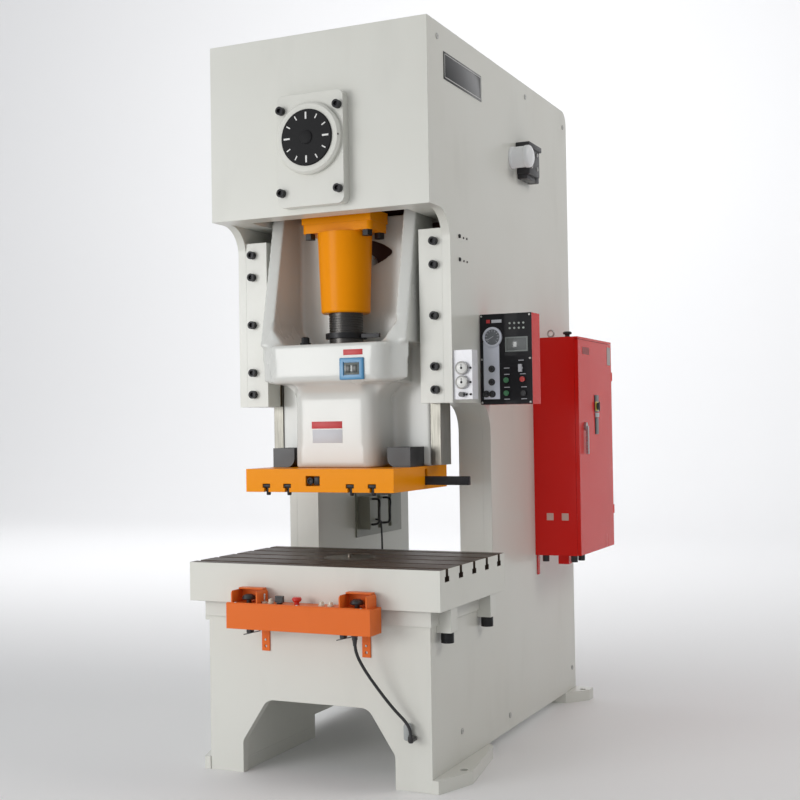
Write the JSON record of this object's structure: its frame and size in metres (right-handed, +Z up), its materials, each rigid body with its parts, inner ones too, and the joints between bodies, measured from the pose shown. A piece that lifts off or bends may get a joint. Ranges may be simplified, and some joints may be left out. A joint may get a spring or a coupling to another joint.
{
  "type": "mechanical stamping press",
  "caption": "Open C-frame crank press with T-slotted table, guided slide, flywheel drive, two-hand console, control panel and electrical cabinet.",
  "frame": {"origin": "on the floor, in the middle of the four anchor bolts", "axes": "+X to the right of an operator who faces the press, +Y to the rear, +Z up"},
  "size_m": [1.416, 2.16, 3.2],
  "materials": {
    "frame_paint": "smooth pale grey-white enamel",
    "slide_paint": "smooth white enamel",
    "orange_paint": "smooth orange enamel",
    "console_paint": "satin red-orange enamel",
    "cabinet_paint": "glossy red enamel",
    "primer": "matt brown primer",
    "dark_steel": "oiled dark steel",
    "ground_steel": "ground steel with a brown protective film",
    "bright_steel": "bright machined steel",
    "bronze": "machined bronze",
    "iron": "machined cast iron",
    "black_steel": "blackened steel",
    "motor_paint": "blue-grey enamel",
    "belt_rubber": "matt black rubber",
    "cable_rubber": "matt black sheath",
    "black_plastic": "satin black plastic",
    "red_plastic": "glossy red plastic",
    "green_plastic": "glossy green plastic",
    "white_plastic": "white plastic",
    "grey_plastic": "grey-green enamel and plastic",
    "dial_face": "satin black with white ticks"
  },
  "bodies": {
    "frame": {"side_plates": "frame_paint", "column_boxes": "frame_paint", "gib_housings": "frame_paint", "bronze_linings": "bronze", "front_plates": "frame_paint", "crown_decks": "frame_paint", "bearing_plates": "primer", "rear_guard": "frame_paint", "bed_plate": "frame_paint", "feet": "frame_paint", "bolster_table": "ground_steel", "bolster_insert": "bright_steel", "table_lugs": "frame_paint", "bearing_cover": "frame_paint", "frame_bolts": "black_steel", "motor": "motor_paint", "drive_belts": "belt_rubber", "balance_cylinders": "dark_steel", "console_box": "console_paint", "console_fittings": "black_plastic", "console_cable": "cable_rubber", "cable_glands": "black_plastic", "cable_inlet": "black_plastic", "control_panel": "cabinet_paint", "cabinet_body": "cabinet_paint", "cabinet_gear": "grey_plastic", "gauge_box": "white_plastic", "lube_unit": "white_plastic", "valve_box": "grey_plastic"},
    "crank": {"crankshaft": "bright_steel", "main_gear": "iron", "angle_dial": "dial_face"},
    "rod": {"rod_big_end": "orange_paint", "rod_barrel": "orange_paint", "rod_bolts": "black_steel", "adjusting_screw": "dark_steel", "screw_clamp": "black_steel"},
    "slide": {"slide_body": "slide_paint", "slide_plate": "orange_paint", "slide_rails": "dark_steel", "oil_trays": "black_steel", "balance_rods": "bright_steel"},
    "knockout": {"knockout_bar": "black_steel"},
    "drive_shaft": {"pinion_shaft": "iron", "clutch_brake": "iron"},
    "flywheel": {"flywheel": "iron"},
    "motor_rotor": {"motor_pulley": "iron"},
    "palm_left": {"palm_button_left": "black_plastic"},
    "palm_right": {"palm_button_right": "black_plastic"},
    "stop_button": {"emergency_button": "red_plastic"},
    "console_switch": {"console_selector": "black_plastic"},
    "toggle": {"console_toggle": "bright_steel"},
    "panel_switch": {"panel_selector": "white_plastic"},
    "panel_key_a": {"panel_button_a": "green_plastic"},
    "panel_key_b": {"panel_button_b": "red_plastic"},
    "panel_key_c": {"panel_button_c": "green_plastic"},
    "panel_key_d": {"panel_button_d": "black_plastic"},
    "door": {"cabinet_door": "cabinet_paint"},
    "handle": {"door_handle": "black_steel"},
    "regulator": {"regulator_knob": "black_plastic"}
  },
  "joints": [
    {"name": "crank_turn", "type": "hinge", "parent": "frame", "child": "crank", "pos_m": [0, -0.733, 2.727], "axis": [0, 1, 0], "range_deg": [0, 180]},
    {"name": "rod_swing", "type": "hinge", "parent": "crank", "child": "rod", "pos_m": [0, -0.733, 2.647], "axis": [0, 1, 0], "range_deg": [-180, 0]},
    {"name": "slide_travel", "type": "slide", "parent": "frame", "child": "slide", "axis": [0, 0, 1], "range_m": [0, 0.16]},
    {"name": "knockout_lift", "type": "slide", "parent": "slide", "child": "knockout", "axis": [0, 0, 1], "range_m": [0, 0.03]},
    {"name": "drive_shaft_turn", "type": "hinge", "parent": "frame", "child": "drive_shaft", "pos_m": [0, 0, 2.2398], "axis": [0, 1, 0], "range_deg": [-1125, 0]},
    {"name": "flywheel_spin", "type": "hinge", "parent": "frame", "child": "flywheel", "pos_m": [0, 0.595, 2.2398], "axis": [0, 1, 0], "continuous": true},
    {"name": "motor_spin", "type": "hinge", "parent": "frame", "child": "motor_rotor", "pos_m": [0, 0.595, 2.9], "axis": [0, 1, 0], "continuous": true},
    {"name": "palm_left_press", "type": "slide", "parent": "frame", "child": "palm_left", "axis": [0, 0, -1], "range_m": [0, 0.008], "stiffness_N_per_m": 400},
    {"name": "palm_right_press", "type": "slide", "parent": "frame", "child": "palm_right", "axis": [0, 0, -1], "range_m": [0, 0.008], "stiffness_N_per_m": 400},
    {"name": "stop_press", "type": "slide", "parent": "frame", "child": "stop_button", "axis": [0, 0, -1], "range_m": [0, 0.006], "stiffness_N_per_m": 500},
    {"name": "console_switch_turn", "type": "hinge", "parent": "frame", "child": "console_switch", "pos_m": [-0.107, -1.175, 0.756], "axis": [0, 0, 1], "range_deg": [-45, 45]},
    {"name": "toggle_tilt", "type": "hinge", "parent": "frame", "child": "toggle", "pos_m": [-0.18, -1.175, 0.762], "axis": [1, 0, 0], "range_deg": [-14, 14]},
    {"name": "panel_switch_turn", "type": "hinge", "parent": "frame", "child": "panel_switch", "pos_m": [0.725, -0.449, 1.743], "axis": [0, 1, 0], "range_deg": [0, 60]},
    {"name": "panel_key_a_press", "type": "slide", "parent": "frame", "child": "panel_key_a", "axis": [0, 1, 0], "range_m": [0, 0.005], "stiffness_N_per_m": 200},
    {"name": "panel_key_b_press", "type": "slide", "parent": "frame", "child": "panel_key_b", "axis": [0, 1, 0], "range_m": [0, 0.005], "stiffness_N_per_m": 200},
    {"name": "panel_key_c_press", "type": "slide", "parent": "frame", "child": "panel_key_c", "axis": [0, 1, 0], "range_m": [0, 0.005], "stiffness_N_per_m": 200},
    {"name": "panel_key_d_press", "type": "slide", "parent": "frame", "child": "panel_key_d", "axis": [0, 1, 0], "range_m": [0, 0.005], "stiffness_N_per_m": 200},
    {"name": "door_swing", "type": "hinge", "parent": "frame", "child": "door", "pos_m": [0.759, 0.905, 1.38], "axis": [0, 0, 1], "range_deg": [0, 120]},
    {"name": "handle_turn", "type": "hinge", "parent": "door", "child": "handle", "pos_m": [0.768, 0.38, 1.478], "axis": [1, 0, 0], "range_deg": [0, 90]},
    {"name": "regulator_turn", "type": "hinge", "parent": "frame", "child": "regulator", "pos_m": [0.572, -0.78, 1.624], "axis": [0, 1, 0], "range_deg": [-270, 0]}
  ],
  "couplings": [
    {"joint": "rod_swing", "follows": "crank_turn", "ratio": -1},
    {"joint": "slide_travel", "follows": "crank_turn", "m_per_rad": 0.05093},
    {"joint": "drive_shaft_turn", "follows": "crank_turn", "ratio": -6.25},
    {"joint": "motor_spin", "follows": "flywheel_spin", "ratio": 5.359}
  ]
}
